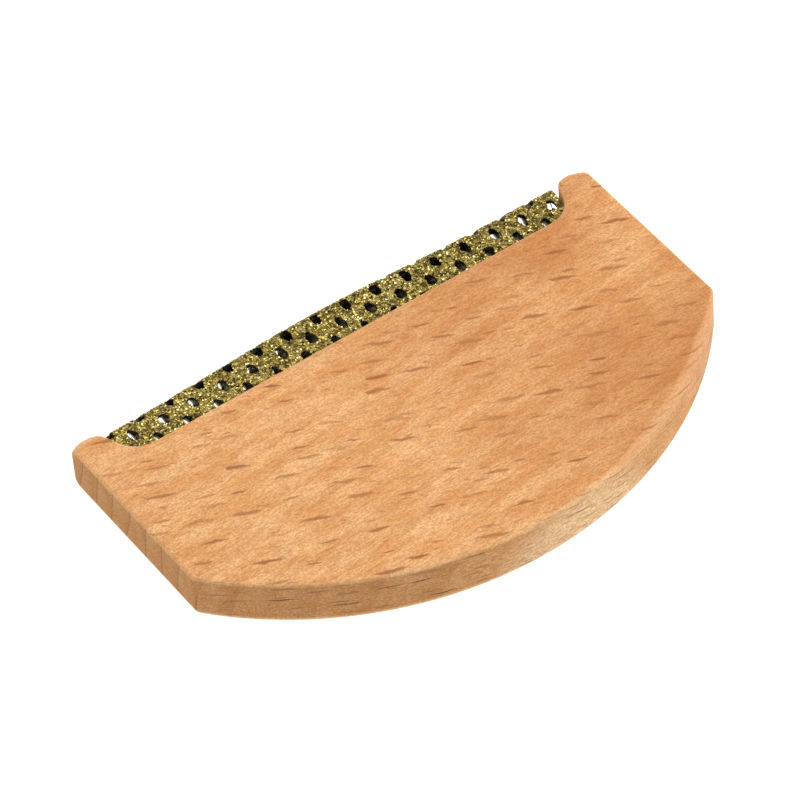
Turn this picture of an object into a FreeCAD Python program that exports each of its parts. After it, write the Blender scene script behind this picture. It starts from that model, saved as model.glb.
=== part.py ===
"""Sweater comb: a beech handle with a folded band of perforated, grit-coated sheet in its edge.

Frame: +Z up, the comb lies flat on its underside. +X runs along the band, +Y points the way the
band faces. The origin is on the underside, in the middle of the comb's length and width.
Every body is drawn with its own Y = 0 on the line of the two prong tips. Lengths are millimetres.
"""
import FreeCAD, Part
import math
import os
import Sketcher

SIZES = {
    # handle: a flat board, D shaped in plan
    "board_width": 90.0,         # over the two straight ends
    "board_depth": 53.65,        # from the prong tips to the middle of the back arc
    "board_thickness": 8.0,
    "end_length": 32.4,          # a straight end, from the prong tip to the back corner
    "back_corner_radius": 1.6,
    "edge_round": 1.5,           # rounding of the top and bottom edges
    # two prongs and the recess between them
    "prong_outer_radius": 1.6,
    "prong_tip_flat": 1.1,
    "prong_inner_radius": 2.5,
    "prong_side_angle": 68.0,    # degrees, from the recess floor to the side of a prong
    "flare_radius": 4.5,         # where the recess floor sweeps up into a prong
    "recess_depth": 6.75,
    # groove in the recess floor, for the two legs of the band
    "groove_depth": 7.0,
    "groove_end_wall": 5.5,      # wood left between the groove and a straight end
    "glue_gap": 0.05,            # left for glue on each face of a leg
    "end_gap": 0.2,              # from the end of the groove to the end of the band
    # band: one strip of perforated sheet, folded over a round nose
    "sheet_thickness": 0.8,      # sheet and grit coat together
    "nose_radius": 2.0,          # outside of the fold
    "nose_reach": 2.0,           # how far the nose stands past the prong tips
    "leg_insertion": 6.5,        # how far the legs go into the groove
    # perforation: staggered rows of long hexagonal slots, parallel to the nose
    "slot_width": 1.2,           # along the band
    "slot_height": 2.4,          # across the band, from point to point
    "slot_point": 0.5,           # height of each pointed end
    "slot_pitch": 5.08,          # from slot to slot in a row
    "row_pitch": 2.6,            # from row to row, measured along the middle of the sheet
    "sheet_margin": 0.4,         # least solid sheet between a slot and an edge of the strip
    # wedge strip, pressed in between the legs
    "wedge_setback": 0.5,        # from the recess floor down to the strip
    "wedge_lead_in": 0.4,        # chamfer on the edge that goes in first
}

# Worked out from the sizes, and kept as expressions so that the model follows the sheet.
FRONT_LINE = "((Sizes.board_depth - Sizes.nose_reach) / 2)"
MID_HEIGHT = "(Sizes.board_thickness / 2)"
BACK_RISE = "(Sizes.board_depth - Sizes.end_length)"
BACK_RADIUS = "((Sizes.board_width ^ 2 / 4 + {0} ^ 2) / (2 * {0}))".format(BACK_RISE)
GROOVE_LENGTH = "(Sizes.board_width - 2 * Sizes.groove_end_wall)"
GROOVE_HEIGHT = "(2 * (Sizes.nose_radius + Sizes.glue_gap))"
BAND_LENGTH = "(%s - 2 * Sizes.end_gap)" % GROOVE_LENGTH
NOSE_SETBACK = "(Sizes.nose_radius - Sizes.nose_reach)"
INNER_RADIUS = "(Sizes.nose_radius - Sizes.sheet_thickness)"
MIDDLE_RADIUS = "(Sizes.nose_radius - Sizes.sheet_thickness / 2)"
LEG_END = "(Sizes.recess_depth + Sizes.leg_insertion)"
LEG_LENGTH = "(%s - %s)" % (LEG_END, NOSE_SETBACK)
QUARTER_FOLD = "(%s * pi / 2)" % MIDDLE_RADIUS

Z_AXIS = FreeCAD.Vector(0, 0, 1)
TOUCHING = 1e-6

# Sketcher's numbers for the points of a curve, and for the sketch's own axes and origin.
START, END, CENTRE = range(1, 4)
X_LINE, Y_LINE = range(-1, -3, -1)
ORIGIN = (X_LINE, START)

doc = FreeCAD.newDocument("SweaterComb")
sheet = doc.addObject("Spreadsheet::Sheet", "Sizes")
for row, (alias, number) in enumerate(SIZES.items(), start=1):
    sheet.set("A%d" % row, alias)
    sheet.set("B%d" % row, str(number))
    sheet.setAlias("B%d" % row, alias)
doc.recompute()


# ------------------------------------------------------------------ drawing aids

def value_of(expression):
    """The number that an expression over the sheet comes to."""
    result = sheet.evalExpression(expression)
    return float(getattr(result, "Value", result))


def origin_feature(body, role):
    return next(item for item in body.Origin.OriginFeatures if item.Role == role)


def new_body(name):
    """A body with its own Y = 0 on the line of the prong tips."""
    body = doc.addObject("PartDesign::Body", name)
    body.Label = name
    body.setExpression("Placement.Base.y", FRONT_LINE)
    return body


def new_sketch(body, name, plane_role, **offsets):
    """An empty sketch on an origin plane, shifted in that plane (x, y) or off it (z)."""
    sketch = body.newObject("Sketcher::SketchObject", name)
    sketch.AttachmentSupport = (origin_feature(body, plane_role), [""])
    sketch.MapMode = "FlatFace"
    for direction, expression in offsets.items():
        sketch.setExpression("AttachmentOffset.Base." + direction, expression)
    return sketch


def line(x1, y1, x2, y2):
    return Part.LineSegment(FreeCAD.Vector(x1, y1, 0), FreeCAD.Vector(x2, y2, 0))


def arc(centre_x, centre_y, radius, start, end):
    """An arc drawn anticlockwise from start to end, in degrees."""
    circle = Part.Circle(FreeCAD.Vector(centre_x, centre_y, 0), Z_AXIS, radius)
    return Part.ArcOfCircle(circle, math.radians(start), math.radians(end))


def constrain(sketch, kind, *references):
    sketch.addConstraint(Sketcher.Constraint(kind, *references))


def drive(sketch, name, expression, kind, *references):
    """Add a named dimension that follows the sheet."""
    number = value_of(expression)
    if kind == "Angle":
        number = math.radians(number)
    dimension = Sketcher.Constraint(kind, *references, number)
    index = sketch.addConstraint(dimension)
    sketch.renameConstraint(index, name)
    sketch.setExpression("Constraints." + name, expression)


def drive_from_origin(sketch, name, expression, kind, point, towards):
    """Hold a point at a distance from the origin, towards its positive side (1) or not (-1)."""
    in_order = ORIGIN + point if towards > 0 else point + ORIGIN
    drive(sketch, name, expression, kind, *in_order)


def join(sketch, first, second, kind):
    """Join two curves where their ends meet; kind is Coincident or Tangent."""
    meetings = []
    for first_end, first_point in ((START, "StartPoint"), (END, "EndPoint")):
        for second_end, second_point in ((START, "StartPoint"), (END, "EndPoint")):
            point = getattr(sketch.Geometry[first], first_point)
            other = getattr(sketch.Geometry[second], second_point)
            meetings.append((point.distanceToPoint(other), first_end, second_end))
    gap, first_end, second_end = min(meetings)
    if gap > TOUCHING:
        raise RuntimeError("curves %d and %d of %s do not meet" % (first, second, sketch.Name))
    constrain(sketch, kind, first, first_end, second, second_end)


def draw_rectangle(sketch, width, height):
    """A rectangle centred on the sketch's origin."""
    x = value_of(width) / 2
    y = value_of(height) / 2
    corners = [(-x, -y), (x, -y), (x, y), (-x, y)]
    for start, end in zip(corners, corners[1:] + corners[:1]):
        sketch.addGeometry(line(*start, *end))
    bottom, right, top, left = range(4)
    for first, second in ((bottom, right), (right, top), (top, left), (left, bottom)):
        join(sketch, first, second, "Coincident")
    for level in (bottom, top):
        constrain(sketch, "Horizontal", level)
    for upright in (right, left):
        constrain(sketch, "Vertical", upright)
    constrain(sketch, "Symmetric", bottom, START, top, START, *ORIGIN)
    drive(sketch, "width", width, "DistanceX", bottom, START, bottom, END)
    drive(sketch, "height", height, "DistanceY", right, START, right, END)


def draw_slot(sketch, width, height, point):
    """An upright hexagon with pointed ends, centred on the sketch's origin."""
    half_width = width + " / 2"
    tip = height + " / 2"
    shoulder = "(%s / 2 - %s)" % (height, point)
    corners = [
        (0, 1, tip), (-1, 1, shoulder), (-1, -1, shoulder),
        (0, -1, tip), (1, -1, shoulder), (1, 1, shoulder),
    ]
    points = [(x * value_of(half_width), y * value_of(level)) for x, y, level in corners]
    for start, end in zip(points, points[1:] + points[:1]):
        sketch.addGeometry(line(*start, *end))
    for side, (x, y, level) in enumerate(corners):
        join(sketch, side, (side + 1) % len(corners), "Coincident")
        if x:
            drive_from_origin(sketch, "x%d" % side, half_width, "DistanceX", (side, START), x)
        else:
            constrain(sketch, "PointOnObject", side, START, Y_LINE)
        drive_from_origin(sketch, "y%d" % side, level, "DistanceY", (side, START), y)


def add_pad(body, sketch, name, length, both_ways):
    pad = body.newObject("PartDesign::Pad", name)
    pad.Profile = sketch
    pad.SideType = "Symmetric" if both_ways else "One side"
    pad.setExpression("Length", length)
    doc.recompute()
    return pad


def add_pocket(body, sketch, name, along_normal, length=None):
    """A cut along the sketch's normal or against it, to a length or right through."""
    solid = body.Shape.Volume
    pocket = body.newObject("PartDesign::Pocket", name)
    pocket.Profile = sketch
    pocket.Reversed = along_normal
    if length:
        pocket.setExpression("Length", length)
    else:
        pocket.Type = "ThroughAll"
    doc.recompute()
    if pocket.Shape.Volume > solid - TOUCHING:
        raise RuntimeError(name + " cuts nothing")
    return pocket


# ------------------------------------------------------------------ beech handle

def draw_half_outline(sketch, side):
    """One prong and straight end, from the recess floor to the back arc: right 1, left -1."""
    edge = value_of("Sizes.board_width / 2")
    floor = -value_of("Sizes.recess_depth")
    flare = value_of("Sizes.flare_radius")
    inner_round = value_of("Sizes.prong_inner_radius")
    outer_round = value_of("Sizes.prong_outer_radius")
    side_angle = value_of("Sizes.prong_side_angle")
    across = math.sin(math.radians(side_angle))
    up = math.cos(math.radians(side_angle))
    tip_x = edge - outer_round - value_of("Sizes.prong_tip_flat")
    side_top = (tip_x - inner_round * across, inner_round * (up - 1))
    side_foot_y = floor + flare * (1 - up)
    side_foot = (side_top[0] - (side_top[1] - side_foot_y) * up / across, side_foot_y)
    flare_x = side_foot[0] - flare * across

    corner = value_of("Sizes.back_corner_radius")
    back_radius = value_of(BACK_RADIUS)
    back_centre = back_radius - value_of("Sizes.board_depth")
    corner_turn = math.acos((edge - corner) / (back_radius - corner))
    corner_y = back_centre - (back_radius - corner) * math.sin(corner_turn)

    def side_line(x1, y1, x2, y2):
        return line(side * x1, y1, side * x2, y2)

    def side_arc(centre_x, centre_y, radius, start, end):
        if side < 0:
            start, end = 180 - end, 180 - start
        return arc(side * centre_x, centre_y, radius, start, end)

    curves = [
        side_arc(flare_x, floor + flare, flare, 270, 270 + side_angle),
        side_line(*side_foot, *side_top),
        side_arc(tip_x, -inner_round, inner_round, 90, 90 + side_angle),
        side_line(tip_x, 0, edge - outer_round, 0),
        side_arc(edge - outer_round, -outer_round, outer_round, 0, 90),
        side_line(edge, -outer_round, edge, corner_y),
        side_arc(edge - corner, corner_y, corner, -math.degrees(corner_turn), 0),
    ]
    numbers = [sketch.addGeometry(curve) for curve in curves]
    for first, second in zip(numbers, numbers[1:]):
        join(sketch, first, second, "Tangent")
    flare_arc, prong_side, inner_arc, tip, outer_arc, straight_end, corner_arc = numbers
    constrain(sketch, "Vertical", straight_end)
    constrain(sketch, "Horizontal", tip)
    constrain(sketch, "PointOnObject", tip, START, X_LINE)

    label = "right_" if side > 0 else "left_"
    for name, radius, curve in (
        ("flare", "Sizes.flare_radius", flare_arc),
        ("inner_round", "Sizes.prong_inner_radius", inner_arc),
        ("outer_round", "Sizes.prong_outer_radius", outer_arc),
        ("corner", "Sizes.back_corner_radius", corner_arc),
    ):
        drive(sketch, label + name, radius, "Radius", curve)
    drive_from_origin(
        sketch, label + "end", "Sizes.board_width / 2", "DistanceX", (straight_end, START), side)
    if side > 0:
        drive(sketch, "right_tip", "Sizes.prong_tip_flat", "DistanceX", tip, START, tip, END)
        drive(sketch, "right_side", "Sizes.prong_side_angle * 1 deg", "Angle", prong_side)
    else:
        drive(sketch, "left_tip", "Sizes.prong_tip_flat", "DistanceX", tip, END, tip, START)
        drive(sketch, "left_side", "180 deg - Sizes.prong_side_angle * 1 deg", "Angle", prong_side)
    return flare_arc, corner_arc


def draw_handle_outline(sketch):
    """The closed outline: recess floor, two prongs, two straight ends and the back arc."""
    right_flare, right_corner = draw_half_outline(sketch, 1)
    left_flare, left_corner = draw_half_outline(sketch, -1)

    floor_left = sketch.Geometry[left_flare].EndPoint
    floor_right = sketch.Geometry[right_flare].StartPoint
    floor = sketch.addGeometry(Part.LineSegment(floor_left, floor_right))
    join(sketch, floor, right_flare, "Tangent")
    join(sketch, floor, left_flare, "Tangent")
    constrain(sketch, "Horizontal", floor)
    drive(sketch, "recess_depth", "Sizes.recess_depth", "DistanceY", floor, START, *ORIGIN)

    radius = value_of(BACK_RADIUS)
    depth = value_of("Sizes.board_depth")
    corner = sketch.Geometry[right_corner].Center
    sweep = math.degrees(math.atan2(radius - depth - corner.y, corner.x))
    back = sketch.addGeometry(arc(0, radius - depth, radius, 180 + sweep, 360 - sweep))
    join(sketch, back, right_corner, "Tangent")
    join(sketch, back, left_corner, "Tangent")
    constrain(sketch, "PointOnObject", back, CENTRE, Y_LINE)
    drive(sketch, "back_radius", BACK_RADIUS, "Radius", back)

    lowest = sketch.addGeometry(Part.Point(FreeCAD.Vector(0, -depth, 0)), True)
    constrain(sketch, "PointOnObject", lowest, START, back)
    constrain(sketch, "PointOnObject", lowest, START, Y_LINE)
    drive(sketch, "board_depth", "Sizes.board_depth", "DistanceY", lowest, START, *ORIGIN)


def make_beech_handle():
    """Sawn to outline, rounded over on both faces, then grooved along the recess floor."""
    body = new_body("beech_handle")
    outline = new_sketch(body, "HandleOutline", "XY_Plane")
    draw_handle_outline(outline)
    board = add_pad(body, outline, "Board", "Sizes.board_thickness", both_ways=False)

    rim = []
    for number, edge in enumerate(board.Shape.Edges, start=1):
        if edge.BoundBox.ZLength < TOUCHING:
            rim.append("Edge%d" % number)
    rounding = body.newObject("PartDesign::Fillet", "EdgeRounding")
    rounding.Base = (board, rim)
    rounding.setExpression("Radius", "Sizes.edge_round")
    doc.recompute()

    mouth = new_sketch(body, "GrooveMouth", "XZ_Plane", y=MID_HEIGHT)
    draw_rectangle(mouth, GROOVE_LENGTH, GROOVE_HEIGHT)
    add_pocket(body, mouth, "Groove", True, "Sizes.recess_depth + Sizes.groove_depth")
    return body


# ------------------------------------------------------------------ perforated band

def draw_fold(sketch):
    """The strip seen on edge: two straight legs and the half-round fold that joins them."""
    outer = value_of("Sizes.nose_radius")
    inner = value_of(INNER_RADIUS)
    back = -value_of(LEG_LENGTH)
    curves = [
        arc(0, 0, outer, -90, 90),
        line(0, outer, back, outer),
        line(back, outer, back, inner),
        line(back, inner, 0, inner),
        arc(0, 0, inner, -90, 90),
        line(0, -inner, back, -inner),
        line(back, -inner, back, -outer),
        line(back, -outer, 0, -outer),
    ]
    numbers = [sketch.addGeometry(curve) for curve in curves]
    nose, top_out, top_end, top_in, hollow, low_in, low_end, low_out = numbers
    for first, second in ((nose, top_out), (top_in, hollow), (hollow, low_in), (low_out, nose)):
        join(sketch, first, second, "Tangent")
    for first, second in (
        (top_out, top_end), (top_end, top_in), (low_in, low_end), (low_end, low_out)
    ):
        join(sketch, first, second, "Coincident")
    for face in (top_out, top_in, low_in, low_out):
        constrain(sketch, "Horizontal", face)
    for name, cut_end in (("top_leg", top_end), ("lower_leg", low_end)):
        constrain(sketch, "Vertical", cut_end)
        drive(sketch, name, LEG_LENGTH, "DistanceX", cut_end, START, *ORIGIN)
    for name, radius, bend in (
        ("outside", "Sizes.nose_radius", nose), ("inside", INNER_RADIUS, hollow)
    ):
        constrain(sketch, "Coincident", bend, CENTRE, *ORIGIN)
        drive(sketch, name, radius, "Radius", bend)


def repeat_slots(body, slot, name, along, across):
    """Repeat a slot along the band, and across it in every second row."""
    pattern = body.newObject("PartDesign::LinearPattern", name)
    pattern.Originals = [slot]
    pattern.Direction = (origin_feature(body, "X_Axis"), [""])
    pattern.Mode = "Spacing"
    pattern.Occurrences = along
    pattern.setExpression("Offset", "Sizes.slot_pitch")
    pattern.Direction2 = (origin_feature(body, "Y_Axis"), [""])
    pattern.Reversed2 = True
    pattern.Mode2 = "Spacing"
    pattern.Occurrences2 = across
    pattern.setExpression("Offset2", "2 * Sizes.row_pitch")
    body.Tip = pattern
    doc.recompute()
    return pattern


def first_slot_x(count):
    """Where the first of a centred row of slots lies."""
    return "-%g * Sizes.slot_pitch" % ((count - 1) / 2)


def row_on_leg(number):
    """Y of a row on the legs, counted from the row on the nose, which is number 0."""
    return "%s - %s - %d * Sizes.row_pitch" % (QUARTER_FOLD, NOSE_SETBACK, number)


def make_mesh_band():
    """A strip punched all over with staggered slots, then folded over a rod."""
    body = new_body("mesh_band")
    fold = new_sketch(body, "Fold", "YZ_Plane", x="-" + NOSE_SETBACK, y=MID_HEIGHT)
    draw_fold(fold)
    add_pad(body, fold, "FoldedStrip", BAND_LENGTH, both_ways=True)

    # Slots that fit in a row: an odd count in line with the middle, an even count between those.
    reach = value_of(BAND_LENGTH + " / 2 - Sizes.slot_width / 2 - Sizes.sheet_margin")
    pitches = reach / value_of("Sizes.slot_pitch")
    in_line = 2 * int(pitches) + 1
    between = 2 * int(pitches + 0.5)
    # Rows that fit on a leg: 1, 3, 5 are staggered from the nose row, 2, 4, 6 are in line with it.
    half_strip = value_of(QUARTER_FOLD + " + " + LEG_LENGTH)
    last_row = half_strip - value_of("Sizes.slot_height / 2 + Sizes.sheet_margin")
    leg_rows = int(last_row / value_of("Sizes.row_pitch"))

    # A straight cut over the fold is lower than the slot it leaves in the curved sheet.
    cut_height = "(2 * {0} * sin(Sizes.slot_height / (2 * {0}) * 1 rad))".format(MIDDLE_RADIUS)
    nose_slot = new_sketch(
        body, "NoseSlot", "XZ_Plane", x=first_slot_x(in_line), y=MID_HEIGHT, z=NOSE_SETBACK)
    draw_slot(nose_slot, "Sizes.slot_width", cut_height, "Sizes.slot_point")
    nose_cut = add_pocket(body, nose_slot, "NoseSlotCut", False)
    repeat_slots(body, nose_cut, "NoseRow", in_line, 1)

    for name, first_row, along in (("Staggered", 1, between), ("InLine", 2, in_line)):
        leg_slot = new_sketch(
            body, name + "Slot", "XY_Plane", x=first_slot_x(along), y=row_on_leg(first_row))
        draw_slot(leg_slot, "Sizes.slot_width", "Sizes.slot_height", "Sizes.slot_point")
        leg_cut = add_pocket(body, leg_slot, name + "SlotCut", True)
        repeat_slots(body, leg_cut, name + "Rows", along, (leg_rows - first_row) // 2 + 1)
    return body


# ------------------------------------------------------------------ wedge strip

def make_wedge_strip():
    """A thin strip, chamfered on the edge that goes in first, that spreads the legs apart."""
    body = new_body("wedge_strip")
    depth = "(Sizes.leg_insertion - Sizes.wedge_setback)"
    section = new_sketch(
        body, "WedgeSection", "YZ_Plane", x="%s / 2 - %s" % (depth, LEG_END), y=MID_HEIGHT)
    draw_rectangle(section, depth, "2 * (%s - Sizes.glue_gap)" % INNER_RADIUS)
    strip = add_pad(body, section, "Strip", BAND_LENGTH, both_ways=True)

    deep_end = strip.Shape.BoundBox.YMin
    leading = []
    for number, edge in enumerate(strip.Shape.Edges, start=1):
        box = edge.BoundBox
        if box.XLength > strip.Shape.BoundBox.XLength / 2 and box.YMax < deep_end + TOUCHING:
            leading.append("Edge%d" % number)
    lead_in = body.newObject("PartDesign::Chamfer", "LeadIn")
    lead_in.Base = (strip, leading)
    lead_in.setExpression("Size", "Sizes.wedge_lead_in")
    doc.recompute()
    return body


bodies = [make_beech_handle(), make_mesh_band(), make_wedge_strip()]
doc.recompute()

for item in doc.Objects:
    if "Invalid" in item.State or "Error" in item.State:
        raise RuntimeError("%s failed: %s" % (item.Name, item.State))
os.makedirs("parts", exist_ok=True)
for body in bodies:
    shape = body.Shape
    if shape.isNull() or not shape.isValid() or len(shape.Solids) != 1:
        raise RuntimeError(body.Label + " is not one sound solid")
    shape.exportStep("parts/%s.step" % body.Label)
    print("%-14s volume %8.1f mm3  box %s" % (body.Label, shape.Volume, shape.BoundBox))
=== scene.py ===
import math
import random

import bmesh
import bpy
from mathutils import Euler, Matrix, Quaternion, Vector, noise


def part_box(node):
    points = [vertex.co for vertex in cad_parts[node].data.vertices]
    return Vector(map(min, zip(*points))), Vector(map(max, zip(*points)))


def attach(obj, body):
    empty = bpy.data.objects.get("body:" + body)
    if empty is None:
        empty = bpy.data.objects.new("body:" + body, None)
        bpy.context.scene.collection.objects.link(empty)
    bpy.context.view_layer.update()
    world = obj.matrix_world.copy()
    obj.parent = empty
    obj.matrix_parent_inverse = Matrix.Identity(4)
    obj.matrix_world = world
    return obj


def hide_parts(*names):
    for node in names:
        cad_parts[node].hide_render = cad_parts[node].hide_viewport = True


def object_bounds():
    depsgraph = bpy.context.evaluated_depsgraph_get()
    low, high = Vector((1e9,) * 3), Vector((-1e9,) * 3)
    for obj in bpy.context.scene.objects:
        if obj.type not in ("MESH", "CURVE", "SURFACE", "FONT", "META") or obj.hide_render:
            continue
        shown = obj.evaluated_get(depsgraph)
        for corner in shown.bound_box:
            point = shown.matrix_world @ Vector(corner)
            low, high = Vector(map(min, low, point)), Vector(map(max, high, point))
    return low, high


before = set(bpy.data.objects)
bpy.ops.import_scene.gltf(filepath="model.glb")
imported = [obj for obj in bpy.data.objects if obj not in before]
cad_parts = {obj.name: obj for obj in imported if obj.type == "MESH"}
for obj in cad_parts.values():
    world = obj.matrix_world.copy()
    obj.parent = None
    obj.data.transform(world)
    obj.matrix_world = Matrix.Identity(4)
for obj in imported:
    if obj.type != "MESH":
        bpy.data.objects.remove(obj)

# ---- The comb as it comes ----
# The box round the bare comb.
# The scene is in metres; sizes of the comb itself are given in millimetres and scaled by MM.
MM = 0.001
bare_low, bare_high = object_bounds()
comb_middle = (bare_low + bare_high) / 2

# ---- Camera ----
# A long lens in front and to the left of the comb, looking down on the board and rolled a little.
CAMERA_AZIMUTH = math.radians(-31.42)
CAMERA_ELEVATION = math.radians(46.66)
CAMERA_ROLL = math.radians(-4.97)
CAMERA_DISTANCE = 859.2 * MM
CAMERA_LENS = 270.0
CAMERA_SENSOR = 36.0
CAMERA_AIM = Vector((0.95, 9.744, 0.0)) * MM

back = Vector((
    math.sin(CAMERA_AZIMUTH) * math.cos(CAMERA_ELEVATION),
    -math.cos(CAMERA_AZIMUTH) * math.cos(CAMERA_ELEVATION),
    math.sin(CAMERA_ELEVATION),
))
camera = bpy.data.objects.new("camera", bpy.data.cameras.new("camera"))
camera.data.lens = CAMERA_LENS
camera.data.sensor_width = CAMERA_SENSOR
camera.location = CAMERA_AIM + back * CAMERA_DISTANCE
camera.rotation_mode = "QUATERNION"
camera.rotation_quaternion = back.to_track_quat("Z", "Y") @ Quaternion((0, 0, 1), CAMERA_ROLL)
bpy.context.scene.collection.objects.link(camera)
bpy.context.scene.camera = camera
bpy.context.scene.view_settings.view_transform = "Standard"


# ---- Table and studio light ----
# A white sheet on a light table, so that it stays white under the comb's own shade.
# One wide softbox hangs overhead, a second stands to the right, and the room fills the rest.
TABLE_SIZE = 1.6
TABLE_GAP = 0.05 * MM    # keeps the table from showing through the comb's underside
TABLE_GLOW = 0.90
ROOM_FILL = 0.25


def linear(hex_colour):
    """The linear colour of an sRGB hex value, with full alpha."""
    channels = [int(hex_colour[i:i + 2], 16) / 255 for i in (1, 3, 5)]
    return (*(c / 12.92 if c <= 0.04045 else ((c + 0.055) / 1.055) ** 2.4 for c in channels), 1.0)


def add(tree, kind, inputs=None, **settings):
    """Adds one shader node, with its settings, values and links, and returns its first output."""
    made = tree.nodes.new("ShaderNode" + kind)
    for name, value in settings.items():
        setattr(made, name, value)
    for socket, value in (inputs or {}).items():
        if isinstance(value, bpy.types.NodeSocket):
            tree.links.new(value, made.inputs[socket])
        else:
            made.inputs[socket].default_value = value
    return made.outputs[0]


# Opal acrylic, lit from below: matt, white, and without a hard edge to any shade.
table_material = bpy.data.materials.new("white_light_table")
table_material.use_nodes = True
table_skin = table_material.node_tree.nodes["Principled BSDF"]
table_skin.inputs["Base Color"].default_value = linear("#a8a8a8")
table_skin.inputs["Roughness"].default_value = 1.0
table_skin.inputs["Specular IOR Level"].default_value = 0.0
table_skin.inputs["Emission Color"].default_value = linear("#ffffff")
table_skin.inputs["Emission Strength"].default_value = TABLE_GLOW

table_top = bmesh.new()
bmesh.ops.create_grid(table_top, x_segments=1, y_segments=1, size=TABLE_SIZE / 2)
table_mesh = bpy.data.meshes.new("table")
table_top.to_mesh(table_mesh)
table_top.free()
table_mesh.materials.append(table_material)
table = bpy.data.objects.new("table", table_mesh)
table.location.z = bare_low.z - TABLE_GAP
bpy.context.scene.collection.objects.link(table)


def softbox(name, place, size, power):
    """A square, white area light at place, turned to the middle of the comb."""
    lamp = bpy.data.lights.new(name, "AREA")
    lamp.size = size
    lamp.energy = power
    lamp.color = linear("#ffffff")[:3]
    box = bpy.data.objects.new(name, lamp)
    box.location = place
    box.rotation_mode = "QUATERNION"
    box.rotation_quaternion = (box.location - comb_middle).to_track_quat("Z", "Y")
    bpy.context.scene.collection.objects.link(box)


softbox("overhead_softbox", place=(0.0, 0.20, 0.75), size=0.7, power=5.2)
softbox("right_softbox", place=(0.66, -0.30, 0.30), size=0.3, power=3.6)

room = bpy.data.worlds.new("room")
room.use_nodes = True
room_light = room.node_tree.nodes["Background"]
room_light.inputs["Color"].default_value = linear("#ffffff")
room_light.inputs["Strength"].default_value = ROOM_FILL
bpy.context.scene.world = room

# ---- Beech handle ----
# The handle is one board of beech, sawn on the quarter, routed to a D and sanded by hand: its top
# edge is only broken, its bottom edge and the tips of its two prongs are rounder. The recess
# between the prongs has a stopped groove, which takes the two legs of the band.
END_LENGTH = 32.4        # a straight end, from the prong tip to the back corner
CORNER_ROUND = 1.6       # back corners, and outsides of the prongs
TIP_FLAT = 1.1           # flat left on the tip of a prong
PRONG_ROUND = 2.5        # insides of the prongs
PRONG_LEAN = math.radians(68)
FLARE_ROUND = 4.5        # where the recess floor sweeps up into a prong
RECESS_DEPTH = 7.05
GROOVE_END = 5.5         # wood left between the groove and a straight end
GROOVE_DEPTH = 7.0
GROOVE_LIPS = (1.95, 6.05)  # heights of the groove's two walls
TOP_ARRIS = 0.45         # width of the broken top edge
BOTTOM_ROUND = 1.5
WORN_FROM = 4.0          # the back edge is worn rounder to the right: from here on,
WORN_RUN = 20.0          # to its widest after this length,
WORN_END = 6.0           # and back to a plain arris over this length before the corner
WORN_EXTRA = 2.3         # how many arrises wider the worn edge is
NOSE_SLOPE = 0.004       # the nose side is a hair out of square, lower at the left
NOSE_SIDE = 15.0         # how far in front of the middle the slope is in full
TIP_SANDING = 2.4        # length of each prong that is sanded down towards its tip
TIP_CUTS = 6             # steps in which the sanding is modelled
TIP_LOSS = 0.22          # share of the thickness lost at the tip,
SIDE_LOSS = 0.30         # and more at its outer corner
HAIR = 0.001             # two places nearer than this are one
BROAD_FACE = 12.0        # mm2: a larger face is flat and meets its neighbours in an edge

handle_low, handle_high = (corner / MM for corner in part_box("beech_handle"))
half_board = handle_high.x - HAIR
tip_line = handle_high.y
thickness = handle_high.z
recess_line = tip_line - RECESS_DEPTH
groove_half = half_board - GROOVE_END
corner_x = half_board - CORNER_ROUND
flat_start = corner_x - TIP_FLAT
lean_run = RECESS_DEPTH / math.tan(PRONG_LEAN)
fillet_run = (PRONG_ROUND + FLARE_ROUND) * math.tan(PRONG_LEAN / 2)
flare_foot = flat_start - lean_run - fillet_run
flare_end_x = flare_foot + FLARE_ROUND * math.sin(PRONG_LEAN)
flare_end_y = recess_line + FLARE_ROUND * (1 - math.cos(PRONG_LEAN))
sagitta = tip_line - END_LENGTH - handle_low.y
arc_radius = (half_board ** 2 + sagitta ** 2) / (2 * sagitta)
arc_centre = handle_low.y + arc_radius
corner_drop = math.sqrt((arc_radius - CORNER_ROUND) ** 2 - corner_x ** 2)
corner_turn = math.atan2(corner_drop, corner_x)

board = bmesh.new()


def draw_line(start, x, y):
    """Draws the outline straight on to x, y and returns its new end."""
    end = bmesh.ops.extrude_vert_indiv(board, verts=[start])["verts"][0]
    end.co = (x, y, 0.0)
    return end


def draw_arc(start, x, y, angle, steps):
    """Draws the outline on in a circle round x, y, clockwise for a negative angle."""
    turned = bmesh.ops.spin(
        board, geom=[start], cent=(x, y, 0), axis=(0, 0, 1), angle=angle, steps=steps
    )
    return next(g for g in turned["geom_last"] if isinstance(g, bmesh.types.BMVert))


# the right half, from the middle of the recess round to the middle of the back
pen = board.verts.new((0.0, recess_line, 0.0))
pen = draw_line(pen, flare_foot, recess_line)
pen = draw_arc(pen, flare_foot, recess_line + FLARE_ROUND, PRONG_LEAN, 12)
pen = draw_line(
    pen, groove_half, flare_end_y + (groove_half - flare_end_x) * math.tan(PRONG_LEAN)
)
pen = draw_line(
    pen,
    flat_start - PRONG_ROUND * math.sin(PRONG_LEAN),
    tip_line - PRONG_ROUND * (1 - math.cos(PRONG_LEAN)),
)
pen = draw_arc(pen, flat_start, tip_line - PRONG_ROUND, -PRONG_LEAN, 10)
pen = draw_line(pen, corner_x, tip_line)
pen = draw_arc(pen, corner_x, tip_line - CORNER_ROUND, -math.pi / 2, 10)
pen = draw_line(pen, half_board, arc_centre - corner_drop)
pen = draw_arc(pen, corner_x, arc_centre - corner_drop, -corner_turn, 8)
pen = draw_arc(pen, 0.0, arc_centre, corner_turn - math.pi / 2, 60)
bmesh.ops.mirror(board, geom=board.verts[:] + board.edges[:], axis="X", merge_dist=HAIR)

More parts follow.
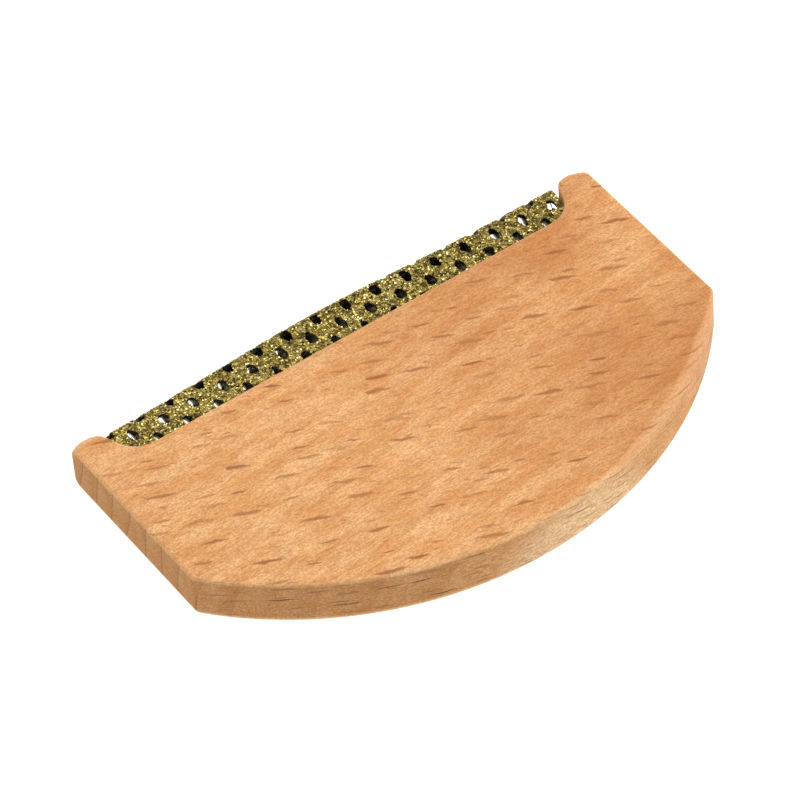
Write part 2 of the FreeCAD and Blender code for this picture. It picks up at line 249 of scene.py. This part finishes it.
# the outline becomes a board, and its two rims are rounded
outline_face = bmesh.ops.contextual_create(board, geom=board.edges[:])["faces"]
for raised in bmesh.ops.extrude_face_region(board, geom=outline_face)["geom"]:
    if isinstance(raised, bmesh.types.BMVert):
        raised.co.z = thickness
bmesh.ops.recalc_face_normals(board, faces=board.faces)
for height, size, segments in ((0.0, BOTTOM_ROUND, 6), (thickness, TOP_ARRIS, 3)):
    rim = [e for e in board.edges if all(abs(v.co.z - height) < HAIR for v in e.verts)]
    bmesh.ops.bevel(
        board, geom=rim, affect="EDGES", offset=size, segments=segments, profile=0.5, material=-1
    )

# the back edge is sanded rounder towards the right, up to the corner
for vert in board.verts:
    spoke = Vector((vert.co.x, vert.co.y - arc_centre, 0.0))
    inward = arc_radius - spoke.length
    below = thickness - vert.co.z
    if vert.co.y < 0 and -HAIR < inward < TOP_ARRIS + HAIR and below < TOP_ARRIS + HAIR:
        rise = max(0.0, min(1.0, (vert.co.x - WORN_FROM) / WORN_RUN))
        fade = max(0.0, min(1.0, (corner_x - vert.co.x) / WORN_END))
        worn = WORN_EXTRA * rise * rise * (3 - 2 * rise) * fade
        vert.co -= spoke.normalized() * inward * worn
        vert.co.z -= below * worn
for lip in GROOVE_LIPS:
    everything = board.verts[:] + board.edges[:] + board.faces[:]
    bmesh.ops.bisect_plane(board, geom=everything, plane_co=(0, 0, lip), plane_no=(0, 0, 1))

# each prong is cut finely near its tip, then pressed thinner towards the tip and its outer corner
cuts = [
    ((0, tip_line - TIP_SANDING * n / TIP_CUTS, 0), (0, 1, 0)) for n in range(1, TIP_CUTS + 1)
]
cuts += [
    ((side * (half_board - TIP_SANDING * n / TIP_CUTS), 0, 0), (1, 0, 0))
    for n in range(2, TIP_CUTS + 1) for side in (-1, 1)
]
sanded_from = tip_line - TIP_SANDING - 0.5
for place, direction in cuts:
    tips = {f for f in board.faces if f.calc_center_median().y > sanded_from or direction[1]}
    tip_edges = {e for f in tips for e in f.edges}
    tip_verts = {v for f in tips for v in f.verts}
    bmesh.ops.bisect_plane(
        board, geom=[*tip_verts, *tip_edges, *tips], plane_co=place, plane_no=direction
    )
for vert in board.verts:
    to_tip = max(0.0, (vert.co.y - tip_line) / TIP_SANDING + 1.0)
    to_side = max(0.0, (abs(vert.co.x) - half_board) / TIP_SANDING + 1.0)
    loss = TIP_LOSS * to_tip ** 2 + SIDE_LOSS * (to_tip * to_side) ** 1.5
    vert.co.z += (thickness / 2 - vert.co.z) * loss

for vert in board.verts:
    nose_share = max(0.0, min(1.0, vert.co.y / NOSE_SIDE))
    vert.co.y += NOSE_SLOPE * (vert.co.x - half_board) * nose_share

# the groove is sunk from the recess floor, and its mouth opened
mouth = [
    f for f in board.faces
    if GROOVE_LIPS[0] < f.calc_center_median().z < GROOVE_LIPS[1]
    and abs(f.calc_center_median().x) < groove_half
    and f.calc_center_median().y > 0
]
for sunk in bmesh.ops.extrude_face_region(board, geom=mouth)["geom"]:
    if isinstance(sunk, bmesh.types.BMVert):
        sunk.co.y = recess_line - GROOVE_DEPTH
bmesh.ops.delete(board, geom=[f for f in mouth if f.is_valid], context="FACES")
bmesh.ops.delete(board, geom=[e for e in board.edges if e.is_wire], context="EDGES")
bmesh.ops.recalc_face_normals(board, faces=board.faces)

for face in board.faces:
    face.smooth = True
for edge in board.edges:
    edge.smooth = all(f.calc_area() < BROAD_FACE for f in edge.link_faces)
bmesh.ops.scale(board, vec=(MM, MM, MM), verts=board.verts)
board_mesh = bpy.data.meshes.new("beech_board")
board.to_mesh(board_mesh)
board.free()

# Beech sanded and left bare is warm, matt and salmon brown. The plates of its rays lie at a low
# slope in the board: the broad faces cut them in slanting brown flecks, the long edge in short
# dark dashes, and the ends show the year rings as upright lines.
YEAR_RING = 4.27         # mm from one year's line to the next
RING_LEAN = 0.22         # mm that a ring goes forward for each mm down,
RING_TURN = -0.10        # and for each mm to the right
RING_START = -26.2
RING_SWAY = 2.4          # mm by which a ring strays
PALE_BAND_AND_SHEEN = (-25.5, -27.0)  # paler wood in the last layers towards the back, partly a painted sheen there
FLECK_TURN = math.radians(24)
PLATE_SLOPE = 0.37       # of the ray plates, across the grain
RAY_CELL = (7.2, 1.15)   # mm along a fleck and across the plates that holds one ray
RAY_HALF = (3.1, 0.20)   # half the length and the width of the largest
MOTE_CELL = (3.0, 0.62)  # the same for the small rays between them
MOTE_HALF = (0.9, 0.09)
RAY_WAVE = (0.5, 0.9, 0.30)  # mm by which the plates wave
MOTTLE = (9.0, 2.6, 2.6)
BLUSH = (30.0, 12.0, 12.0)
BLUSH_SIDE = (-12.0, 30.0)  # the blush grows over this stretch, to the right
FIBRE = (1.3, 0.24, 0.24)  # fibres are ten times finer, too fine to show, so bundles are drawn
PORE = 0.26              # pores are 0.06 mm across, and drawn coarser for the same reason


def beech(name, light, mid, dark, edge, pale_and_sheen, fleck_colour, dash_colour):
    """Sanded, unvarnished beech with its grain along X."""
    material = bpy.data.materials.new(name)
    material.use_nodes = True
    tree = material.node_tree
    skin = tree.nodes["Principled BSDF"]
    metres = add(tree, "TexCoord").node.outputs["Object"]
    wood = add(tree, "Mapping", {"Vector": metres, "Scale": (1 / MM,) * 3})

    # which way the wood is cut: 1 on the broad faces, on their broken edges, and on the ends. The
    # broken-edge mask places a painted highlight.
    facing = add(tree, "SeparateXYZ", {0: add(tree, "NewGeometry").node.outputs["Normal"]}).node
    upright = add(tree, "Math", {0: facing.outputs["Z"]}, operation="ABSOLUTE")
    endwise = add(tree, "Math", {0: facing.outputs["X"]}, operation="ABSOLUTE")
    soft = {"interpolation_type": "SMOOTHSTEP"}
    broad = add(tree, "MapRange", {0: upright, 1: 0.05, 2: 0.35}, **soft)
    arris = add(tree, "MapRange", {0: upright, 1: 0.99, 2: 0.9}, **soft)
    end = add(tree, "MapRange", {0: endwise, 1: 0.78, 2: 0.98}, **soft)

    def grain_noise(size, detail, roughness=0.5):
        """Noise whose lumps are about size mm along, across and through the grain."""
        stretched = add(tree, "Mapping", {"Vector": wood, "Scale": [1 / s for s in size]})
        return add(tree, "TexNoise", {
            "Vector": stretched, "Scale": 1.0, "Detail": detail, "Roughness": roughness,
        })

    def rays(cell, half, share, shift):
        """Spindle-shaped sections of the rays, at most one in a cell; 1 inside one."""
        slope = PLATE_SLOPE / cell[1]
        directions = (
            (math.cos(FLECK_TURN) / cell[0], -math.sin(FLECK_TURN) / cell[0], 0.0),
            (slope * math.sin(FLECK_TURN), slope * math.cos(FLECK_TURN), 1 / cell[1]),
        )
        waves = add(tree, "TexNoise", {"Vector": wood, "Scale": 0.45, "Detail": 3.0}).node
        wavy = add(tree, "VectorMath", {
            0: waves.outputs["Color"], 1: RAY_WAVE, 2: wood,
        }, operation="MULTIPLY_ADD")
        along, across = (
            add(tree, "VectorMath", {0: wavy, 1: d}, operation="DOT_PRODUCT").node.outputs["Value"]
            for d in directions
        )
        place = add(tree, "CombineXYZ", {0: along, 1: across, 2: 0.0})
        moved = add(tree, "VectorMath", {0: place, 1: (shift, shift * 0.7, 0.0)}, operation="ADD")
        strewn = add(tree, "TexVoronoi", {
            "Vector": moved, "Scale": 1.0, "Randomness": 0.9,
        }, voronoi_dimensions="2D").node

        # each cell has its own chance of a ray, its size and its depth of colour
        chance = add(tree, "SeparateColor", {0: strewn.outputs["Color"]}).node
        kept = add(tree, "Math", {0: share, 1: chance.outputs[0]}, operation="GREATER_THAN")
        size = add(tree, "MapRange", {0: chance.outputs[1], 3: 0.35, 4: 1.0})
        depth = add(tree, "MapRange", {0: chance.outputs[2], 3: 0.4, 4: 1.0})

        offset = add(tree, "VectorMath", {
            0: moved, 1: strewn.outputs["Position"],
        }, operation="SUBTRACT")
        scaled = add(tree, "VectorMath", {
            0: offset, 1: (cell[0] / half[0], cell[1] / half[1], 0.0),
        }, operation="MULTIPLY")
        parts = add(tree, "SeparateXYZ", {0: scaled}).node
        run = add(tree, "Math", {0: parts.outputs[0], 1: size}, operation="DIVIDE")
        bulge = add(tree, "Math", {0: run, 1: 2.0}, operation="POWER")
        rise = add(tree, "Math", {0: parts.outputs[1], 1: size}, operation="DIVIDE")
        flat_rise = add(tree, "Math", {0: rise}, operation="ABSOLUTE")
        reach = add(tree, "Math", {0: flat_rise, 1: bulge}, operation="ADD")
        inside = add(tree, "MapRange", {0: reach, 1: 1.1, 2: 0.3}, **soft)
        strength = add(tree, "Math", {0: kept, 1: depth}, operation="MULTIPLY")
        return add(tree, "Math", {0: inside, 1: strength}, operation="MULTIPLY")

    layers = add(tree, "VectorMath", {
        0: wood, 1: (RING_TURN, 1.0, RING_LEAN),
    }, operation="DOT_PRODUCT").node.outputs["Value"]
    swayed = add(tree, "Math", {
        0: grain_noise((45.0, 8.0, 14.0), 1.0), 1: RING_SWAY, 2: layers,
    }, operation="MULTIPLY_ADD")
    started = add(tree, "Math", {0: swayed, 1: RING_START}, operation="SUBTRACT")
    counted = add(tree, "Math", {0: started, 1: YEAR_RING}, operation="DIVIDE")
    ring = add(tree, "Math", {0: counted}, operation="FRACT")
    late_wood = add(tree, "MapRange", {0: ring, 1: 0.75, 2: 0.0}, **soft)
    ring_line = add(tree, "MapRange", {0: ring, 1: 0.10, 2: 0.0}, **soft)
    pale_wood_and_sheen = add(tree, "MapRange", {0: layers, 1: PALE_BAND_AND_SHEEN[0], 2: PALE_BAND_AND_SHEEN[1]})

    mottle = grain_noise(MOTTLE, 4.0, 0.62)
    blush = grain_noise(BLUSH, 2.0)
    fibre = grain_noise(FIBRE, 2.0, 0.6)
    pores = grain_noise((PORE * 1.3, PORE, PORE), 0.0)
    large_rays = rays(RAY_CELL, RAY_HALF, 0.8, 3.1)
    small_rays = rays(MOTE_CELL, MOTE_HALF, 0.5, 7.7)
    motes = add(tree, "Math", {0: small_rays, 1: 0.6}, operation="MULTIPLY")
    marks = add(tree, "Math", {0: large_rays, 1: motes}, operation="MAXIMUM")

    along_board = add(tree, "SeparateXYZ", {0: wood})
    to_right = add(tree, "MapRange", {
        0: along_board, 1: BLUSH_SIDE[0], 2: BLUSH_SIDE[1], 3: 0.10, 4: 0.66,
    })
    mark_colour = add(tree, "Mix", {
        0: broad, 6: linear(dash_colour), 7: linear(fleck_colour),
    }, data_type="RGBA").node.outputs[2]

    # each line lays one colour over what is there: where, how strongly, and which
    layers_of_colour = (
        (add(tree, "MapRange", {0: mottle, 1: 0.40, 2: 0.60}), 1.0, linear(mid)),
        (
            add(tree, "MapRange", {0: blush, 1: 0.28, 2: 0.62}),
            add(tree, "Math", {0: to_right, 1: broad}, operation="MULTIPLY"),
            linear(dark),
        ),
        (late_wood, add(tree, "MapRange", {0: broad, 3: 0.40, 4: 0.15}), linear(dark)),
        # the sides take the edge colour: partly the side grain's own darker tone, partly painted
        # shade on the sides
        (add(tree, "MapRange", {0: broad, 3: 0.55, 4: 0.0}), 1.0, linear(edge)),
        # paler wood towards the back, partly a painted sheen
        (pale_wood_and_sheen, 0.7, linear(pale_and_sheen)),
        (
            add(tree, "MapRange", {0: fibre, 1: 0.42, 2: 0.62}),
            add(tree, "MapRange", {0: broad, 3: 0.42, 4: 0.31}),
            linear(fleck_colour),
        ),
        (add(tree, "MapRange", {0: pores, 1: 0.40, 2: 0.62}), 0.33, linear(fleck_colour)),
        # a painted highlight along the broken edges, partly the paler sanded wood there
        (add(tree, "Math", {0: arris, 1: broad}, operation="MULTIPLY"), 0.15, linear(pale_and_sheen)),
        (add(tree, "Math", {0: ring_line, 1: end}, operation="MULTIPLY"), 0.7, linear(fleck_colour)),
        (marks, add(tree, "MapRange", {0: end, 3: 0.9, 4: 0.12}), mark_colour),
    )
    tone = linear(light)
    for pattern, strength, colour in layers_of_colour:
        share = add(tree, "Math", {0: pattern, 1: strength}, operation="MULTIPLY")
        laid = add(tree, "Mix", {0: share, 6: tone, 7: colour}, data_type="RGBA")
        tone = laid.node.outputs[2]
    tree.links.new(tone, skin.inputs["Base Color"])

    # the rays are a little sunk, the fibres stand up, and end grain takes no polish
    relief = add(tree, "Math", {0: marks, 1: -1.2, 2: fibre}, operation="MULTIPLY_ADD")
    bump = add(tree, "Bump", {"Height": relief, "Strength": 0.25, "Distance": 0.03 * MM})
    tree.links.new(bump, skin.inputs["Normal"])
    matt = add(tree, "MapRange", {0: fibre, 1: 0.3, 2: 0.7, 3: 0.5, 4: 0.6})
    tree.links.new(matt, skin.inputs["Roughness"])
    polish = add(tree, "MapRange", {0: end, 3: 0.3, 4: 0.1})
    tree.links.new(polish, skin.inputs["Specular IOR Level"])
    skin.inputs["IOR"].default_value = 1.5
    return material


# the edge colour is the sides' own tone darkened in part as painted shade; the pale colour is paler
# wood and a painted sheen and highlight
board_mesh.materials.append(beech(
    "sanded_beech",
    light="#fbc487", mid="#ebaa67", dark="#c0773c", edge="#bd8742",
    pale_and_sheen="#ffdfac", fleck_colour="#9c5a29", dash_colour="#57310f",
))
handle = bpy.data.objects.new("beech_board", board_mesh)
bpy.context.scene.collection.objects.link(handle)
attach(handle, "root")
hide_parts("beech_handle")

# ---- Wedge strip ----
# A strip of the same beech, driven into the groove between the band's two legs to grip it.
# Only its front edge can be seen, through the holes and from the ends of the fold.
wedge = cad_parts["wedge_strip"]
wedge.data.materials.clear()
# its beech is drawn in darker tones than the handle's: painted shade for the groove it sits in
wedge.data.materials.append(beech(
    "beech_darkened_for_groove_shade",
    light="#d79c66", mid="#c98c58", dark="#a9703f", edge="#a9703f",
    pale_and_sheen="#d79c66", fleck_colour="#8c5a34", dash_colour="#57310f",
))

# ---- Mesh band ----
# The working edge is a strip of steel punched with staggered slots, folded in a U and then
# coated all over with bonded abrasive grit. It is laid out flat, punched, and folded last.
SHEET = 0.6              # mm of steel, without its grit
OUTER_RADIUS = 1.84      # nose radius over the bare steel
FALL_LEFT = (39.0, 1.5)  # the fold is bent by hand: from its middle it falls back over this
FALL_RIGHT = (28.0, 0.88)  # length by this much
SPREAD = 0.018           # the fold is a little wider than the legs in the groove
HOLE_PITCH = 5.03        # along a row
PITCH_CHANGE = -0.005    # the punch gains a little on each hole
PATTERN_START = 0.17
HOLES_EACH_WAY = 9
ROW_PITCH = 2.8
ROWS = range(-7, 5)
FIRST_ROW = 5.85         # over the skin, from the nose to the row in plain view
ROW_BOW = 0.3            # the rows sit further from the nose towards both ends
PATTERN_SKEW = 0.040     # and the strip went into the bender a little askew
UNDERSIDE_SHIFT = (0.65, -1.1)  # the fold drags the lower rows on by this much
LAST_TOP_ROW = -1
NOSE_ROW_FROM = 8.0      # to the right of this, the next row still sits on the nose
HOLE_HALF = (0.72, 1.32)
HOLE_SPREAD = (0.88, 1.12)  # how far single holes stray from that size
RAGGED = 0.14            # how far the grit makes a rim stray, as a share
BLANK_CELL = 0.3
NOSE_ROOM = 0.2          # kept free in front of the nose for the grit
LUMP_SIZE, LUMP_HEIGHT = 0.9, 0.10  # the bond is laid on unevenly
BOND_TOP = 0.08          # but no thicker than this

band_low, band_high = (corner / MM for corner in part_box("mesh_band"))
band_middle = (band_low + band_high) / 2
bend_place = band_high.y - NOSE_ROOM - OUTER_RADIUS
quarter_turn = OUTER_RADIUS * math.pi / 2
half_blank = quarter_turn + (bend_place - band_low.y)
half_width = band_high.x
punched = random.Random(11)


def fold(x, along, height):
    """Folds a point of the flat blank: along runs over the outer skin from the nose line."""
    turn = max(-math.pi / 2, min(math.pi / 2, along / OUTER_RADIUS))
    radius = OUTER_RADIUS + height
    y = bend_place + radius * math.cos(turn) - abs(along - turn * OUTER_RADIUS)
    share = max(0.0, (y - band_low.y) / (band_high.y - band_low.y))
    reach, depth = FALL_LEFT if x < 0 else FALL_RIGHT
    y -= share * depth * (1 - math.cos(math.pi * min(1.0, abs(x) / reach))) / 2
    return Vector((x * (1 + SPREAD * share ** 3), y, band_middle.z + radius * math.sin(turn))) * MM


def unevenness(x, along, height=0.0):
    """How far the bond stands up or lies low at a point of the blank."""
    return noise.noise((x / LUMP_SIZE, along / LUMP_SIZE, height)) * LUMP_HEIGHT


holes = {}
for row in ROWS:
    stagger = 0.5 if row % 2 else 0.0
    for n in range(-HOLES_EACH_WAY, HOLES_EACH_WAY):
        step = n + stagger
        centre = PATTERN_START + HOLE_PITCH * step + PITCH_CHANGE * step * step
        along = FIRST_ROW + ROW_PITCH * row + PATTERN_SKEW * centre
        along += ROW_BOW * (centre / half_width) ** 2
        on_nose = row == LAST_TOP_ROW - 1 and centre >= NOSE_ROW_FROM
        if row < LAST_TOP_ROW and not on_nose:
            centre += UNDERSIDE_SHIFT[0]
            along += UNDERSIDE_SHIFT[1]
        half = tuple(h * punched.uniform(*HOLE_SPREAD) for h in HOLE_HALF)
        holes[row, n] = (centre, along, half, punched.uniform(0, 50))


def hole_reach(x, along):
    """How far a point is from the nearest hole, as a share of its half size, and that hole."""
    nearest = (9.0, None)
    near_row = round((along - FIRST_ROW - PATTERN_SKEW * x) / ROW_PITCH)
    for row in (near_row - 1, near_row, near_row + 1):
        stagger = 0.5 if row % 2 else 0.0
        near_n = round((x - PATTERN_START) / HOLE_PITCH - stagger)
        for n in (near_n - 1, near_n, near_n + 1):
            if (row, n) not in holes:
                continue
            centre, middle, half, character = holes[row, n]
            dx = (x - centre) / half[0]
            dy = (along - middle) / half[1]
            angle = math.atan2(dy, dx)
            rim = noise.noise((1.6 * math.cos(angle), 1.6 * math.sin(angle), character))
            reach = math.hypot(dx, dy) / (1.0 + RAGGED * rim)
            if reach < nearest[0]:
                nearest = (reach, holes[row, n])
    return nearest


# the flat blank is punched, and the rim of each hole drawn in to its true outline
blank = bmesh.new()
columns = round(2 * half_width / BLANK_CELL)
rows = round(2 * half_blank / BLANK_CELL)
bmesh.ops.create_grid(blank, x_segments=columns, y_segments=rows, size=1.0)
bmesh.ops.scale(blank, vec=(half_width, half_blank, 1.0), verts=blank.verts)
scrap = [f for f in blank.faces if hole_reach(*f.calc_center_median().xy)[0] < 1.0]
bmesh.ops.delete(blank, geom=scrap, context="FACES")
for vert in blank.verts:
    if vert.is_boundary:
        reach, hole = hole_reach(*vert.co.xy)
        if hole and 0.4 < reach < 1.7:
            centre = Vector((hole[0], hole[1], 0.0))
            vert.co = centre + (vert.co - centre) / reach
        vert.co.x = max(-half_width, min(half_width, vert.co.x))
        vert.co.y = max(-half_blank, min(half_blank, vert.co.y))

# the blank gets its thickness and is folded; its inner side takes a darker copy of the bond, painted
# shade for the inside of the fold
bmesh.ops.solidify(blank, geom=blank.faces[:], thickness=SHEET)
skin_height = max(v.co.z for v in blank.verts)
for face in blank.faces:
    if face.calc_center_median().z - skin_height < -SHEET / 3:
        face.material_index = 1
for vert in blank.verts:
    depth = vert.co.z - skin_height
    height = min(depth + unevenness(vert.co.x, vert.co.y, depth), BOND_TOP)
    vert.co = fold(vert.co.x, vert.co.y, height)
bmesh.ops.recalc_face_normals(blank, faces=blank.faces)
band_mesh = bpy.data.meshes.new("mesh_band_sheet")
blank.to_mesh(band_mesh)
blank.free()

CRYSTAL = 0.38           # mm across one patch of a single tone, the size of a grain


def grit_material(name, dark, gold, bright):
    """Bonded abrasive in olive and brass tones: angular grains that sparkle. The dark tones of the
    bond sheet are painted shade and dark reflections in the gaps between grains.
    """
    material = bpy.data.materials.new(name)
    material.use_nodes = True
    tree = material.node_tree
    skin = tree.nodes["Principled BSDF"]
    place = add(tree, "TexCoord").node.outputs["Object"]
    strewn = add(tree, "TexVoronoi", {"Vector": place, "Scale": 1 / (CRYSTAL * MM)}).node
    chance = add(tree, "SeparateColor", {0: strewn.outputs["Color"]})
    tones = add(tree, "ValToRGB", {"Fac": chance})
    stops = tones.node.color_ramp.elements
    stops[0].position, stops[0].color = 0.0, linear(dark)
    stops[1].position, stops[1].color = 1.0, linear(bright)
    stops.new(0.6).color = linear(gold)
    tree.links.new(tones, skin.inputs["Base Color"])
    skin.inputs["Metallic"].default_value = 0.8
    skin.inputs["Roughness"].default_value = 0.38
    return material


# the bond sheet's dark olive is painted shade and dark reflection in the gaps between the grains
band_mesh.materials.append(grit_material("bond_with_painted_gap_shade", "#362f15", "#89783a", "#b19b50"))
# the inner side's darker bond is painted shade inside the fold
band_mesh.materials.append(grit_material("inside_bond_painted_shade", "#37331f", "#474230", "#5c563c"))
band = bpy.data.objects.new("mesh_band_sheet", band_mesh)
bpy.context.scene.collection.objects.link(band)
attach(band, "root")
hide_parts("mesh_band")

# ---- Grit ----
# Crushed grains of about 0.35 mm stand on edge in the bond, shoulder to shoulder over both faces
# and round the rims of the holes. Each is a small block, knocked out of square.
GRAIN_SPACING = 0.37
GRAIN_HALF = (0.11, 0.19)  # from the smallest grain to the largest
GRAIN_KNOCK = (0.55, 1.0)  # how far a corner is knocked in
GRAIN_HEIGHT = (-0.3, 0.19)  # no corner sinks deeper or stands higher
BARE_END = 0.15          # ends of the band that are left bare
COATED_TO = 6.6          # behind the prong tips: the grit stops just inside the groove
grain_luck = random.Random(5)
coated = quarter_turn + bend_place - (handle_high.y - COATED_TO)

spots = []
for i in range(round(2 * half_width / GRAIN_SPACING)):
    for j in range(round(2 * coated / GRAIN_SPACING)):
        x = -half_width + (i + grain_luck.uniform(0.1, 0.9)) * GRAIN_SPACING
        along = -coated + (j + grain_luck.uniform(0.1, 0.9)) * GRAIN_SPACING
        if abs(x) < half_width - BARE_END and hole_reach(x, along)[0] > 1.0:
            spots.append((x, along))

grit = bmesh.new()
bmesh.ops.create_cube(grit, size=2.0)
corners = len(grit.verts)
while len(grit.verts) < corners * len(spots):
    bmesh.ops.duplicate(grit, geom=grit.verts[:] + grit.edges[:] + grit.faces[:])
grit.verts.ensure_lookup_table()
bmesh.ops.delete(grit, geom=grit.verts[corners * len(spots):], context="VERTS")
grit.verts.ensure_lookup_table()
for k, (x, along) in enumerate(spots):
    size = grain_luck.uniform(*GRAIN_HALF)
    turn = Euler([grain_luck.uniform(0, math.tau) for _ in range(3)]).to_matrix()
    lift = unevenness(x, along) / 2
    for vert in grit.verts[corners * k:corners * (k + 1)]:
        knocked = Vector([c * grain_luck.uniform(*GRAIN_KNOCK) for c in vert.co])
        corner = turn @ knocked * size
        height = max(GRAIN_HEIGHT[0], min(GRAIN_HEIGHT[1], corner.z + lift))
        vert.co = fold(x + corner.x, along + corner.y, height)
grit_mesh = bpy.data.meshes.new("grit_coat")
grit.to_mesh(grit_mesh)
grit.free()

grit_mesh.materials.append(grit_material("brass_grit", "#62552a", "#c8b35c", "#f6eaae"))
grit_coat = bpy.data.objects.new("grit_coat", grit_mesh)
bpy.context.scene.collection.objects.link(grit_coat)
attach(grit_coat, "root")
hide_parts("mesh_band")
